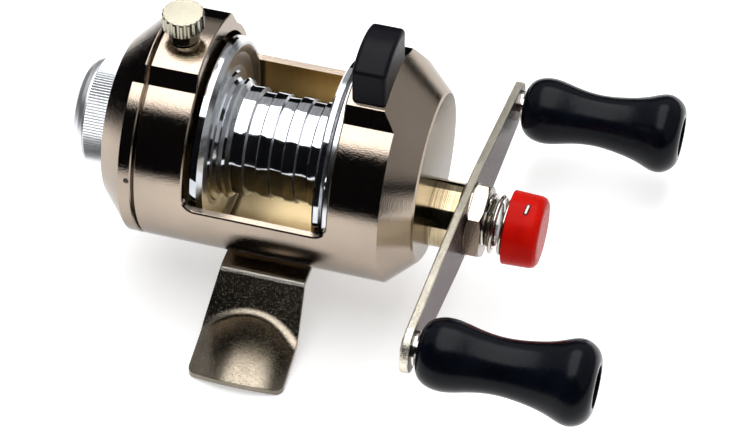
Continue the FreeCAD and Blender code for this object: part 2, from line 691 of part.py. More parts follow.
def return_spring():
    """Coil between the nut and the button: one tube on quarter-turn arcs."""
    lead = SPRING_WIRE_R + 0.02
    x0 = NUT_FACE_X + lead
    x1 = BUTTON_X + BUTTON_DEPTH - lead
    eighths = int(SPRING_TURNS * 8)
    pts = []
    for k in range(eighths + 1):
        y, z = polar(SPRING_R, 45.0 * k)
        pts.append(V(x0 + (x1 - x0) * k / eighths, y, DRIVE_Z + z))
    edges = [Part.Arc(pts[k], pts[k + 1], pts[k + 2]).toShape() for k in range(0, eighths, 2)]
    tangent = edges[0].tangentAt(edges[0].FirstParameter)
    section = Part.Wire(Part.makeCircle(SPRING_WIRE_R, pts[0], tangent))
    coil = Part.Wire(edges).makePipeShell([section], True, False)
    least = 1e9
    line = [e.valueAt(e.FirstParameter + t * (e.LastParameter - e.FirstParameter) / 12)
            for e in edges for t in range(12)]
    for i in range(len(line)):
        for j in range(i + 24, len(line)):
            least = min(least, line[i].distanceToPoint(line[j]))
    print("return_spring least gap to itself %.2f mm" % (least - 2 * SPRING_WIRE_R))
    return coil if coil.ShapeType == "Solid" else Part.Solid(coil)


# Knobs on the crank

def crank_knob(side):
    """Waisted grip, bored for its spindle and recessed at the outer end."""
    y, z = knob_centre(side)
    x0, x1 = KNOB_X, KNOB_X + KNOB_L
    big, small, waist = KNOB_BIG_R, KNOB_SMALL_R, KNOB_WAIST_R
    shape = (
        (0.0, small - 2.4), (0.85, small - 0.85), (0.127 * KNOB_L, small), (0.294 * KNOB_L, small - 0.55),
        (0.46 * KNOB_L, waist), (0.62 * KNOB_L, waist + 0.35), (0.77 * KNOB_L, big - 0.75),
        (0.89 * KNOB_L, big), (KNOB_L - 0.75, big - 0.9), (KNOB_L, big - 2.3))
    top = [V(x0 + x, y, z + r) for x, r in shape]
    curve = Part.BSplineCurve()
    curve.interpolate(top)
    low, start = V(x1, y, z), V(x0, y, z)
    edges = [curve.toShape(), Part.makeLine(top[-1], low)]
    edges += [Part.makeLine(low, start), Part.makeLine(start, top[0])]
    knob = Part.Face(Part.Wire(edges)).revolve(V(0, y, z), V(1, 0, 0), 360)
    knob = knob.cut(cyl(KNOB_RECESS_R, x1 - KNOB_RECESS, x1 + 1, y, z))
    return knob.cut(cyl(SPINDLE_R + RUN, x0 - 1, x1, y, z))


def knob_spindle(side):
    """Spindle riveted in the arm, with a head in the knob's recess."""
    y, z = knob_centre(side)
    end = KNOB_X + KNOB_L - KNOB_RECESS
    bar = cyl(SPINDLE_R, ARM_X, end + 1, y, z)
    head = cyl(SPINDLE_HEAD_R, end + SIDE_GAP, end + 1.4, y, z)
    shoulder_ring = cyl(SPINDLE_R + 0.9, ARM_X + ARM_T, KNOB_X - SIDE_GAP, y, z)
    rivet = turned([
        (ARM_X - 0.5, 0.0), (ARM_X - 0.4, SPINDLE_R), (ARM_X, SPINDLE_R + 0.7), (ARM_X, 0.0)], y, z)
    return fuse([bar, head, shoulder_ring, rivet])


# Switch block, stem and pawl

def switch_block():
    """Block with a crowned top; its underside follows the pad."""
    x0, x1, y0, y1 = SWITCH_X0, SWITCH_X1, SWITCH_Y0, SWITCH_Y1
    z_edge = AXIS_Z + PAD_R + SWITCH_SIDE_H
    z_low = AXIS_Z + PAD_R - 6.0
    crown = V(x0, (y0 + y1) / 2, z_edge + SWITCH_CROWN)
    a, b, c, d = V(x0, y0, z_low), V(x0, y0, z_edge), V(x0, y1, z_edge), V(x0, y1, z_low)
    edges = [Part.makeLine(a, b), Part.Arc(b, crown, c).toShape(), Part.makeLine(c, d), Part.makeLine(d, a)]
    block = Part.Face(Part.Wire(edges)).extrude(V(x1 - x0, 0, 0))
    block = block.cut(cyl(PAD_R + SWITCH_GAP, x0 - 1, x1 + 1))
    upper = [e for e in block.Edges if e.BoundBox.ZMin > z_edge - 2.0 or e.BoundBox.ZLength > 3.5]
    block = block.makeFillet(0.7, upper)
    return block.cut(upright(STEM_R, STEM_X, AXIS_Z, AXIS_Z + PAD_R + 3))


def switch_stem():
    return upright(STEM_R, STEM_X, AXIS_Z + STEM_TIP_R, AXIS_Z + PAD_R + 3)


def pawl_lever():
    """Forked lever: the stem moves the fork, the nose stands over the ratchet, a tail balances it."""
    z0 = AXIS_Z + PAWL_UP
    hub = cyl(PAWL_HUB_R, FORK_X, RATCHET_X + RATCHET_T, 0, z0)
    tip_z = AXIS_Z + STEM_TIP_R
    half = STEM_R + FORK_SLOT
    fork = box(FORK_X, FORK_X + FORK_T, -half - 0.9, half + 0.9, z0 + 0.2, tip_z + 1.3)
    slot = box(FORK_X - 1, FORK_X + FORK_T + 1, -half, half, tip_z - 1.0, tip_z + 3)
    near = RATCHET_R + PAWL_GAP
    a, b = 0.75 * PAWL_HUB_R, 0.56 * PAWL_HUB_R
    nose = [(-a, PAWL_UP + b), polar(near + 1.2, -40.3), polar(near, -41.0), polar(near + 0.1, -34.0)]
    nose += [polar(near + 0.62, -20.4), (b, PAWL_UP - a)]
    nose = prism(nose, RATCHET_X, RATCHET_X + RATCHET_T, 0.0, AXIS_Z)
    half = PAWL_TAIL_H / 2
    tail = box(RATCHET_X, RATCHET_X + RATCHET_T, 0, PAWL_TAIL, z0 - half, z0 + half)
    lever = fuse([hub, fork.cut(slot), nose, tail])
    return lever.cut(cyl(PAWL_PIN_R + RUN, FORK_X - 1, WALL_X, 0, z0))


# Foot

def foot_plan():
    """Plan of the foot's front half: it widens from the bend to the arch and has a rounded tip."""
    w, tip_w, low = FOOT_W / 2, FOOT_TIP_W / 2, -SEAT_H
    side = [(w, 0.05), (w, -FOOT_BEND_Y), (tip_w, -FOOT_FLARE_Y), (tip_w, -TIP_CORNER_Y)]
    right = [V(x, y, low) for x, y in side]
    left = [V(-x, y, low) for x, y in reversed(side)]
    edges = [Part.makeLine(p, q) for p, q in zip(right[:-1], right[1:])]
    edges.append(Part.Arc(right[-1], V(0, -TIP_Y, low), left[0]).toShape())
    edges += [Part.makeLine(p, q) for p, q in zip(left[:-1], left[1:])]
    edges.append(Part.makeLine(left[-1], right[0]))
    solid = Part.Face(Part.Wire(edges)).extrude(V(0, 0, 3 * SEAT_H))
    tips = -TIP_CORNER_Y + 0.1
    corners = [e for e in solid.Edges if e.BoundBox.YMax < tips and e.BoundBox.ZLength > SEAT_H]
    return solid.makeFillet(TIP_CORNER_R, corners)


def below_bend(offset):
    """Everything under the flat and sloped faces, lowered square to them."""
    a = math.radians(FOOT_SLOPE)
    top = FOOT_TOP - offset
    bend = -FOOT_BEND_Y + offset * math.tan(a / 2)
    far = -1.4 * TIP_Y
    pts = [(1.0, top), (bend, top), (far, top + (far - bend) * math.tan(a)), (far, -60.0), (1.0, -60.0)]
    return prism(pts, -FOOT_W, FOOT_W)


def below_tip(offset):
    """Round bar under the arched tip, sloping down outwards."""
    a = math.radians(TIP_SLOPE)
    way = V(0, math.cos(a), math.sin(a))
    centre = V(0, -TIP_AT_Y, FOOT_TOP - TIP_DROP - TIP_R)
    length = 3 * (TIP_Y - TIP_AT_Y)
    bar = Part.makeCylinder(TIP_R - offset, length, centre - way * (length * 0.45), way)
    bar.rotate(centre, way, 180)
    return bar


def bend_edges(sheet, level):
    """Edges across the sheet where its flat middle ends, at one height."""
    return [e for e in sheet.Edges if e.BoundBox.XLength > 1 and e.BoundBox.YMax < -1
            and e.BoundBox.ZLength < 0.01 and abs(e.BoundBox.ZMin - level) < 0.01]


def crease_edges(sheet):
    """Edges across the sheet where the slope meets the arched tip, outermost first."""
    found = [e for e in sheet.Edges if isinstance(e.Curve, Part.Ellipse) and e.BoundBox.XLength > FOOT_W]
    return sorted(found, key=lambda e: e.BoundBox.YMin)


def foot_plate():
    """Sheet saddle: flat middle, two slopes and two arched tips, with rounded bends and creases."""
    upper = below_bend(0.0).fuse(below_tip(0.0))
    half = upper.cut(below_bend(FOOT_T).fuse(below_tip(FOOT_T))).common(foot_plan())
    half = half.makeFillet(FOOT_BEND_R, bend_edges(half, FOOT_TOP))
    half = half.makeFillet(FOOT_BEND_R - FOOT_T, bend_edges(half, FOOT_TOP - FOOT_T))
    half = half.makeFillet(FOOT_CREASE_R, crease_edges(half)[:1])
    half = half.makeFillet(FOOT_CREASE_R + FOOT_T, crease_edges(half)[:1])
    foot = half.fuse(half.mirror(V(0, 0, 0), V(0, 1, 0))).removeSplitter()
    for x in FOOT_SCREW_X:
        foot = foot.cut(upright(FOOT_SCREW_R, x, FOOT_TOP - 3, FOOT_TOP + 1))
    return foot


def foot_saddle():
    """Block between the round body and the flat middle of the foot."""
    half_l, half_w = SADDLE_L / 2, SADDLE_W / 2
    rise = BODY_R - math.sqrt(BODY_R ** 2 - half_w ** 2)
    block = box(-half_l, half_l, -half_w, half_w, FOOT_TOP, SEAT_H + rise + 0.05)
    block = block.cut(cyl(BODY_R, -SADDLE_L, SADDLE_L))
    for x in FOOT_SCREW_X:
        block = block.cut(upright(FOOT_SCREW_R, x, FOOT_TOP - 1, SEAT_H + 2))
    return block


def foot_screws():
    solids = []
    z_head = FOOT_TOP - FOOT_T
    for x in FOOT_SCREW_X:
        shank = upright(FOOT_SCREW_R, x, z_head, SEAT_H + WALL - FOOT_SCREW_END - 0.1)
        head = upright(FOOT_SCREW_R + 0.8, x, z_head - 1.1, z_head)
        socket = upright(FOOT_SCREW_R - 0.2, x, z_head - 1.2, z_head - 0.5)
        solids.append(fuse([shank, head]).cut(socket))
    return Part.makeCompound(solids)


NODES = {
    "body_shell": body_shell(),
    "side_plate": side_plate(),
    "side_plate_posts": side_plate_posts(),
    "side_plate_screws": side_plate_screws(),
    "plate_bush": ring(AXLE_R + SPOOL_BUSH_T, AXLE_R + RUN, PLATE_X, CHAMBER_X),
    "wall_bush": ring(JOURNAL_R + SPOOL_BUSH_T, JOURNAL_R + RUN, WALL_X + 0.4, FACE_X - 1.0),
    "drive_bush": drive_bush(),
    "pawl_pin": cyl(PAWL_PIN_R, FORK_X - 0.4, WALL_X + 2.0, 0, AXIS_Z + PAWL_UP),
    "end_cap": end_cap(),
    "cap_dowel": cap_dowel(),
    "bearing_outer": bearing("outer"),
    "bearing_balls": bearing("balls"),
    "foot_saddle": foot_saddle(),
    "foot_plate": foot_plate(),
    "foot_screws": foot_screws(),
    "spool": spool(),
    "spool_shaft": spool_shaft(),
    "spool_pinion": pinion(),
    "ratchet_wheel": ratchet_wheel(),
    "bearing_inner": bearing("inner"),
    "tension_knob": tension_knob(),
    "tension_pad": tension_pad(),
    "thumbscrew": thumbscrew(),
    "switch_block": switch_block(),
    "switch_stem": switch_stem(),
    "pawl_lever": pawl_lever(),
    "drive_shaft": drive_shaft(),
    "crank_arm": crank_arm(),
    "lock_washer": ring(WASHER_R, DRIVE_R, ARM_X + ARM_T, NUT_X, 0, DRIVE_Z),
    "drive_nut": drive_nut(),
    "knob_spindles": Part.makeCompound([knob_spindle(-1), knob_spindle(1)]),
    "crank_knob_front": crank_knob(-1),
    "crank_knob_rear": crank_knob(1),
    "drive_gear": drive_gear(),
    "gear_clip": gear_clip(),
    "push_rod": push_rod(),
    "release_button": release_button(),
    "return_spring": return_spring(),
}

os.makedirs("parts", exist_ok=True)
for name, shape in NODES.items():
    volume = sum(s.Volume for s in shape.Solids)
    print("%-18s solids %d valid %s volume %.2f" % (name, len(shape.Solids), shape.isValid(), volume))
    shape.exportStep("parts/%s.step" % name)
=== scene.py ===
import math

import bmesh
import bpy
import numpy as np
from mathutils import Matrix, Vector


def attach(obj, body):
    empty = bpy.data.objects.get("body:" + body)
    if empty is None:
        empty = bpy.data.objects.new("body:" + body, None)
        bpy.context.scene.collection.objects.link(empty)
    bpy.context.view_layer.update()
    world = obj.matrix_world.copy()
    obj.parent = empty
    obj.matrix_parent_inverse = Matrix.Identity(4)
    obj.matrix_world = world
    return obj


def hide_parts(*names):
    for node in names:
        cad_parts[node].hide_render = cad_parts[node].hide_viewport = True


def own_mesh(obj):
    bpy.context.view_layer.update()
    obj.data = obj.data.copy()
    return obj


# The reel's CAD model, packed as one frame. Its axes are the reel's own: +X along
# the spool axis to the crank, +Y to the back, +Z up from the rod.
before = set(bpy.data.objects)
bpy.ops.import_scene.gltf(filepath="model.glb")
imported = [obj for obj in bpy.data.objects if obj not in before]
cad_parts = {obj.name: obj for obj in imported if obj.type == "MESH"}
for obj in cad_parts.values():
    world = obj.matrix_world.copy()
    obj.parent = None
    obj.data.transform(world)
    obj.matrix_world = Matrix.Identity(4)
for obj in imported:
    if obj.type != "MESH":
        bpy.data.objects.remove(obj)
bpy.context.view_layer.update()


# Camera: a long lens close to a catalogue photograph's, above the front of the
# reel and a little to the crank's side. Its place was solved from points marked
# along the photograph's rings and edges, in the frame's own axes.
MM = 0.001
CAMERA_AT = Vector((88.09, -268.70, 305.84)) * MM
CAMERA_RIGHT = Vector((0.9628785, 0.2698982, 0.0044672))
CAMERA_UP = Vector((-0.1980265, 0.6950319, 0.6911702))
CAMERA_BACK = Vector((0.1834407, -0.6663975, 0.7226783))
camera_data = bpy.data.cameras.new("camera")
camera_data.lens = 134.4
camera_data.sensor_width = 36.0
camera_data.clip_start = 0.01
camera_data.clip_end = 20.0
camera = bpy.data.objects.new("camera", camera_data)
bpy.context.collection.objects.link(camera)
turn = Matrix((CAMERA_RIGHT, CAMERA_UP, CAMERA_BACK)).transposed()
camera.matrix_world = Matrix.Translation(CAMERA_AT) @ turn.to_4x4()
bpy.context.scene.camera = camera
bpy.context.scene.view_settings.view_transform = "Standard"


# Studio: white paper under the reel, one large soft box above and behind it and a
# pale room. A low dark surround stands round the paper and rises in front, as
# photographers put black card round polished metal. Only reflections see it.
def surface(name, points, close_columns=False):
    """Mesh of a grid of points (rows, columns, 3) in mm, wrapped round along its columns where closed."""
    rows, columns = points.shape[:2]
    r = np.arange(rows - 1)[:, None]
    c = np.arange(columns if close_columns else columns - 1)[None, :]
    after = (c + 1) % columns
    low, high = r * columns, (r + 1) * columns
    quads = np.stack([low + c, low + after, high + after, high + c], -1)
    mesh = bpy.data.meshes.new(name)
    mesh.from_pydata((points.reshape(-1, 3) * MM).tolist(), [], quads.reshape(-1, 4).tolist())
    piece = bpy.data.objects.new(name, mesh)
    bpy.context.collection.objects.link(piece)
    return piece


def add(tree, kind, inputs=(), **settings):
    """Adds a node; its inputs are (socket, value or output socket) pairs."""
    node = tree.nodes.new(kind)
    for key, value in settings.items():
        setattr(node, key, value)
    for socket, value in dict(inputs).items():
        if isinstance(value, bpy.types.NodeSocket):
            tree.links.new(value, node.inputs[socket])
        else:
            node.inputs[socket].default_value = value
    return node


def finish_nodes(name, **sockets):
    """New material, with its node tree, its shader and the Object coordinates.

    Plain sockets are set by name, with underscores for the spaces.
    """
    finish = bpy.data.materials.new(name)
    finish.use_nodes = True
    tree = finish.node_tree
    shader = tree.nodes["Principled BSDF"]
    for socket, value in sockets.items():
        shader.inputs[socket.replace("_", " ")].default_value = value
    place = add(tree, "ShaderNodeTexCoord").outputs["Object"]
    return finish, tree, shader, place


def noise(tree, place, scale, detail=2.0, roughness=0.5):
    """Value of a noise field; scale is in features per metre."""
    inputs = {"Vector": place, "Scale": scale, "Detail": detail, "Roughness": roughness}
    return add(tree, "ShaderNodeTexNoise", inputs).outputs["Fac"]


def blend(tree, factor, dark, light):
    """Colour between two, by a factor."""
    inputs = {"Factor": factor, 6: (*dark, 1.0), 7: (*light, 1.0)}
    return add(tree, "ShaderNodeMix", inputs, data_type="RGBA").outputs[2]


def spread(tree, value, low, high, to_low=0.0, to_high=1.0):
    """Stretches a value from one range to another, held at the ends."""
    inputs = {"Value": value, "From Min": low, "From Max": high, "To Min": to_low, "To Max": to_high}
    return add(tree, "ShaderNodeMapRange", inputs).outputs[0]


PAPER_GLOW = 0.42  # its own light, for the camera and for reflections only
paper_white, tree, shader, place = finish_nodes("paper_white", Roughness=0.9, Specular_IOR_Level=0.0)
fibres = blend(tree, noise(tree, place, 900.0, 3.0), (0.85, 0.85, 0.85), (0.88, 0.88, 0.88))
tree.links.new(fibres, shader.inputs["Base Color"])
ray = add(tree, "ShaderNodeLightPath").outputs
seen = add(tree, "ShaderNodeMath", {0: ray["Is Camera Ray"], 1: ray["Is Glossy Ray"]}, operation="ADD")
seen = add(tree, "ShaderNodeMath", {0: seen.outputs[0], 1: ray["Is Transmission Ray"]}, operation="ADD")
lift = add(tree, "ShaderNodeMath", {0: seen.outputs[0], 1: PAPER_GLOW}, operation="MULTIPLY")
shader.inputs["Emission Color"].default_value = (1.0, 1.0, 1.0, 1.0)
tree.links.new(lift.outputs[0], shader.inputs["Emission Strength"])
across, along = np.meshgrid(np.linspace(-3000.0, 3000.0, 9), np.linspace(-3000.0, 3000.0, 9))
floor = surface("floor", np.stack([across, along, 0.0 * across - 0.02], -1))
floor.data.materials.append(paper_white)

card_black, tree, shader, place = finish_nodes("card_black", Roughness=1.0, Specular_IOR_Level=0.0)
flock = blend(tree, noise(tree, place, 400.0), (0.003, 0.003, 0.004), (0.008, 0.008, 0.009))
tree.links.new(flock, shader.inputs["Base Color"])


CARD_RISE = 20.0  # how far the card has risen at its far distance, mm
CARD_GAP = 0.4  # its lower edge above the paper, mm


def surround(azimuths, near, far, height):
    """Curved card: from the paper at the near distance it runs out and up to the far distance.

    Azimuth 0 is straight in front and 90 at the crank's side; a quarter of an ellipse joins the
    two distances, and then the card rises straight to its height.
    """
    a = np.radians(azimuths)[None, :]
    t = np.concatenate([np.linspace(0.0, 1.0, 9), np.ones(1)])[:, None]
    lift = CARD_RISE * (1.0 - np.sqrt(1.0 - np.minimum(t, 1.0) ** 2))
    lift[-1] = height.max()
    reach = near[None, :] + (far - near)[None, :] * t
    z = CARD_GAP + np.minimum(lift, height[None, :])
    return np.stack([reach * np.sin(a), -reach * np.cos(a), z], -1)


azimuth = np.linspace(-180.0, 180.0, 121)[:-1]
in_front = 1.0 / (1.0 + np.exp((np.abs(azimuth + 14.0) - 62.0) / 4.0))
to_right = 1.0 / (1.0 + np.exp((np.abs(azimuth - 110.0) - 60.0) / 8.0))
near = 120.0 + 180.0 * to_right
near = near + (148.0 - near) * in_front
far = np.maximum(near + 27.0, 300.0 - 125.0 * in_front)
height = 100.0 - 45.0 * to_right * (1.0 - in_front) + 185.0 * in_front
card = surface("card_surround", surround(azimuth, near, far, height), close_columns=True)
card.data.materials.append(card_black)
card.visible_camera = False
card.visible_shadow = False
card.visible_diffuse = False

ROOM_STRENGTH = 0.55
world = bpy.data.worlds.new("studio")
bpy.context.scene.world = world
world.use_nodes = True
tree = world.node_tree
tree.nodes.clear()
way = add(tree, "ShaderNodeTexCoord").outputs["Generated"]
height = add(tree, "ShaderNodeSeparateXYZ", {"Vector": way})
room = blend(tree, height.outputs["Z"], (0.80, 0.79, 0.78), (0.96, 0.98, 1.0))
background = add(tree, "ShaderNodeBackground", {"Color": room, "Strength": ROOM_STRENGTH})
add(tree, "ShaderNodeOutputWorld", {"Surface": background.outputs[0]})


def soft_box(name, at, target, size, power):
    """Rectangular area lamp that faces a point of the reel."""
    lamp = bpy.data.lights.new(name, "AREA")
    lamp.shape = "RECTANGLE"
    lamp.size, lamp.size_y = size[0] * MM, size[1] * MM
    lamp.energy = power
    box = bpy.data.objects.new(name, lamp)
    box.location = Vector(at) * MM
    box.rotation_mode = "QUATERNION"
    box.rotation_quaternion = (Vector(target) * MM - box.location).to_track_quat("-Z", "Y")
    bpy.context.collection.objects.link(box)


soft_box("box_overhead", at=(-10, 78, 420), target=(-10, 60, 25), size=(320, 655), power=2.1)


# Body and end cap: machined from light alloy and nickel plated. The plating has a
# warm champagne tone and a very fine grain, which roughens the edge of every
# reflection. The bore is golden and duller. The thumbscrew holds the cap.
SPOOL_AXIS = (0.0, 25.4)  # y and z of the spool's axis, mm
BORE_R = 14.9
BORE_X0, BORE_X1 = -16.6, 18.5  # the bore's ends, mm


def dressed(finish, *nodes):
    """Gives CAD nodes one finish in place of their plain one."""
    for node in nodes:
        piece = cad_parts[node]
        piece.data.materials.clear()
        piece.data.materials.append(finish)


def plating(
        name, dark, light, roughness, grain_size, grain_depth, cloud=70.0, edge=0.0, glance=1.0, pits=0.0):
    """Plated metal: its tone and gloss drift slowly, with fine grain and rounded edges on top.

    Glance is how much of its mirror light it keeps where it is seen almost along its surface.
    Pits are small steep grains scattered over it, which glint; theirs is the share of the noise's
    range that makes them.
    """
    tint = (glance, glance, glance, 1.0)
    finish, tree, shader, place = finish_nodes(name, Metallic=1.0, Specular_Tint=tint)
    drift = noise(tree, place, cloud, 3.0)
    tree.links.new(blend(tree, spread(tree, drift, 0.3, 0.7), dark, light), shader.inputs["Base Color"])
    speck = noise(tree, place, grain_size * 0.5)
    gloss = spread(tree, speck, 0.3, 0.7, roughness - 0.03, roughness + 0.05)
    tree.links.new(gloss, shader.inputs["Roughness"])
    height = noise(tree, place, grain_size, 2.0, 0.6)
    if pits > 0.0:
        grains = noise(tree, place, 0.8 * grain_size, 1.0)
        grains = spread(tree, grains, 0.7 - pits, 0.76 - pits, 0.0, 1.6)
        height = add(tree, "ShaderNodeMath", {0: height, 1: grains}, operation="ADD").outputs[0]
    bump = add(tree, "ShaderNodeBump", {"Height": height, "Strength": 1.0, "Distance": grain_depth})
    if edge > 0.0:
        soft = add(tree, "ShaderNodeBevel", {"Radius": edge * MM}, samples=4)
        tree.links.new(soft.outputs[0], bump.inputs["Normal"])
    tree.links.new(bump.outputs["Normal"], shader.inputs["Normal"])
    return finish


def from_axis(tree, place, axis):
    """X, and the distance from an X-parallel axis, of a place, both in metres."""
    centre = (0.0, -axis[0] * MM, -axis[1] * MM)
    centred = add(tree, "ShaderNodeVectorMath", {0: place, 1: centre}, operation="ADD")
    part = add(tree, "ShaderNodeSeparateXYZ", {"Vector": centred.outputs[0]})
    flat = add(tree, "ShaderNodeCombineXYZ", {"Y": part.outputs["Y"], "Z": part.outputs["Z"]})
    radius = add(tree, "ShaderNodeVectorMath", {0: flat.outputs[0]}, operation="LENGTH")
    return part.outputs["X"], radius.outputs["Value"]


def patched(finish, factor, tone, gloss):
    """Gives part of a finish another tone and roughness; the factor is 1 where the first ones stay."""
    tree = finish.node_tree
    shader = tree.nodes["Principled BSDF"]
    base = shader.inputs["Base Color"].links[0].from_socket
    mixed = add(tree, "ShaderNodeMix", {"Factor": factor, 6: (*tone, 1.0), 7: base}, data_type="RGBA")
    tree.links.new(mixed.outputs[2], shader.inputs["Base Color"])
    rough = shader.inputs["Roughness"].links[0].from_socket
    mixed = add(tree, "ShaderNodeMix", {"Factor": factor, 2: gloss, 3: rough}, data_type="FLOAT")
    tree.links.new(mixed.outputs[0], shader.inputs["Roughness"])


body_nickel = plating(
    "body_nickel", (0.325, 0.268, 0.222), (0.43, 0.352, 0.28), 0.06, 5200.0, 0.00002,
    edge=0.12, glance=0.7)
tree = body_nickel.node_tree
place = add(tree, "ShaderNodeTexCoord").outputs["Object"]
along, radius = from_axis(tree, place, SPOOL_AXIS)
outer = spread(tree, radius, (BORE_R + 0.02) * MM, (BORE_R + 0.06) * MM)
ends = spread(tree, along, BORE_X1 * MM, (BORE_X1 + 0.1) * MM)
outer = add(tree, "ShaderNodeMath", {0: outer, 1: ends}, operation="MAXIMUM").outputs[0]
ends = spread(tree, along, BORE_X0 * MM, (BORE_X0 + 0.1) * MM, 1.0, 0.0)
outer = add(tree, "ShaderNodeMath", {0: outer, 1: ends}, operation="MAXIMUM").outputs[0]
patched(body_nickel, outer, (0.48, 0.375, 0.215), 0.27)
dressed(body_nickel, "body_shell", "end_cap")

dowel_steel = plating("dowel_steel", (0.05, 0.045, 0.04), (0.10, 0.09, 0.08), 0.45, 4000.0, 0.000005)
dressed(dowel_steel, "cap_dowel")


# Foot: pressed from sheet, bent and arched at its tips, nickel plated like the body
# but duller, with small pits and a painted highlight, a bright line along each bend.
# It is screwed through a saddle block into the body.
BEND_Y = 9.7  # the bend's line, from the middle, mm
BEND_HIGHLIGHT = 0.22  # half the painted highlight's width, mm
foot_nickel = plating(
    "foot_nickel", (0.15, 0.13, 0.105), (0.27, 0.232, 0.18), 0.12, 6000.0, 0.000013, 160.0,
    edge=0.3, pits=0.05)
tree = foot_nickel.node_tree
place = add(tree, "ShaderNodeTexCoord").outputs["Object"]
reach = add(tree, "ShaderNodeSeparateXYZ", {"Vector": place}).outputs["Y"]
reach = add(tree, "ShaderNodeMath", {0: reach}, operation="ABSOLUTE").outputs[0]
from_bend = add(tree, "ShaderNodeMath", {0: reach, 1: -BEND_Y * MM}, operation="ADD").outputs[0]
from_bend = add(tree, "ShaderNodeMath", {0: from_bend}, operation="ABSOLUTE").outputs[0]
# Painted highlight: near each bend the tone turns almost white, a bright line.
flat = spread(tree, from_bend, BEND_HIGHLIGHT * MM, (BEND_HIGHLIGHT + 0.1) * MM)
patched(foot_nickel, flat, (0.96, 0.93, 0.85), 0.2)
dressed(foot_nickel, "foot_plate")

saddle_nickel = plating("saddle_nickel", (0.30, 0.22, 0.12), (0.46, 0.36, 0.22), 0.12, 4200.0, 0.00001)
dressed(saddle_nickel, "foot_saddle", "foot_screws")


# Spool: turned from aluminium bar and polished, so it mirrors the body round it.
# Shallow bands cross its drum; the tool left faint rings all round its axis.
def lathe_rings(tree, place, axis, pitch, depth, soft=None):
    """Bump of fine turning rings: noise over the place along X and the distance from an X-parallel axis."""
    along, radius = from_axis(tree, place, axis)
    profile = add(tree, "ShaderNodeCombineXYZ", {"X": along, "Y": radius})
    rings = noise(tree, profile.outputs[0], 1.0 / (pitch * MM), 3.0)
    bump = add(tree, "ShaderNodeBump", {"Height": rings, "Strength": 1.0, "Distance": depth})
    if soft:
        tree.links.new(soft, bump.inputs["Normal"])
    return rings, bump.outputs["Normal"]


def turned_metal(name, dark, light, roughness, axis, pitch, depth, edge=0.0, waves=0.0):
    """Metal from the lathe: turning rings in its tone and bump, a stain in its tone and gloss, over slow
    waves of a given depth.
    """
    finish, tree, shader, place = finish_nodes(name, Metallic=1.0)
    soft = None
    if edge > 0.0:
        soft = add(tree, "ShaderNodeBevel", {"Radius": edge * MM}, samples=4).outputs[0]
    if waves > 0.0:
        swell = {"Height": noise(tree, place, 420.0, 1.0, 0.4), "Strength": 1.0, "Distance": waves}
        soft = add(tree, "ShaderNodeBump", swell).outputs["Normal"]
    rings, normal = lathe_rings(tree, place, axis, pitch, depth, soft)
    stain = noise(tree, place, 220.0, 3.0)
    mixed = add(tree, "ShaderNodeMath", {0: rings, 1: stain}, operation="MULTIPLY")
    tone = spread(tree, mixed.outputs[0], 0.12, 0.4)
    tree.links.new(blend(tree, tone, dark, light), shader.inputs["Base Color"])
    gloss = spread(tree, stain, 0.3, 0.7, roughness - 0.02, roughness + 0.04)
    tree.links.new(gloss, shader.inputs["Roughness"])
    tree.links.new(normal, shader.inputs["Normal"])
    return finish


spool_alloy = turned_metal(
    "spool_alloy", (0.44, 0.455, 0.49), (0.68, 0.70, 0.735), 0.05, SPOOL_AXIS, 0.3, 0.000004, waves=0.00013)
tree = spool_alloy.node_tree
faces = add(tree, "ShaderNodeTexCoord").outputs["Normal"]
side = add(tree, "ShaderNodeSeparateXYZ", {"Vector": faces}).outputs["X"]
patched(spool_alloy, spread(tree, side, 0.55, 0.85, 1.0, 0.0), (0.66, 0.67, 0.68), 0.36)
dressed(spool_alloy, "spool")


# Inner works: steel shafts, gears and screws, brass bushes and a steel side plate.
# They are pressed or screwed to the end wall and to the spool's shaft.
works_steel = plating("works_steel", (0.42, 0.42, 0.43), (0.58, 0.58, 0.60), 0.24, 5200.0, 0.000004)
dressed(works_steel, "side_plate_screws", "pawl_pin", "gear_clip")
dressed(works_steel, "bearing_outer", "bearing_balls", "bearing_inner")
dressed(works_steel, "switch_stem", "pawl_lever", "ratchet_wheel")

DRIVE_AXIS = (0.0, 18.4)  # y and z of the crank's axis, mm
gear_steel = turned_metal(
    "gear_steel", (0.45, 0.45, 0.46), (0.62, 0.62, 0.63), 0.2, DRIVE_AXIS, 0.2, 0.000003)
dressed(gear_steel, "drive_gear", "push_rod")

shaft_steel = turned_metal(
    "shaft_steel", (0.55, 0.55, 0.56), (0.70, 0.70, 0.72), 0.16, SPOOL_AXIS, 0.25, 0.000002)
dressed(shaft_steel, "spool_shaft", "spool_pinion", "side_plate", "side_plate_posts")

bush_brass = turned_metal(
    "bush_brass", (0.62, 0.46, 0.22), (0.78, 0.60, 0.32), 0.24, SPOOL_AXIS, 0.2, 0.000003)
dressed(bush_brass, "plate_bush", "wall_bush")


# Tension knob: aluminium, with a fine straight knurl and a smooth bright nose. It
# screws on the cap's boss and presses a fibre pad against the spool's shaft.
knob_alloy = turned_metal(
    "knob_alloy", (0.80, 0.82, 0.84), (0.92, 0.93, 0.95), 0.4, SPOOL_AXIS, 0.18, 0.000003, 0.04)
dressed(knob_alloy, "tension_knob")

pad_fibre, tree, shader, place = finish_nodes("pad_fibre", Roughness=0.85)
fibres = blend(tree, noise(tree, place, 2500.0, 4.0), (0.22, 0.05, 0.03), (0.34, 0.10, 0.06))
tree.links.new(fibres, shader.inputs["Base Color"])
dressed(pad_fibre, "tension_pad")


# Thumbscrew: nickel plated, with cut flutes round its head and a flat top. It locks
# the cap to the body through the pad.
thumb_nickel = plating(
    "thumb_nickel", (0.31, 0.29, 0.23), (0.40, 0.375, 0.30), 0.12, 5000.0, 0.00001, edge=0.1)
dressed(thumb_nickel, "thumbscrew")


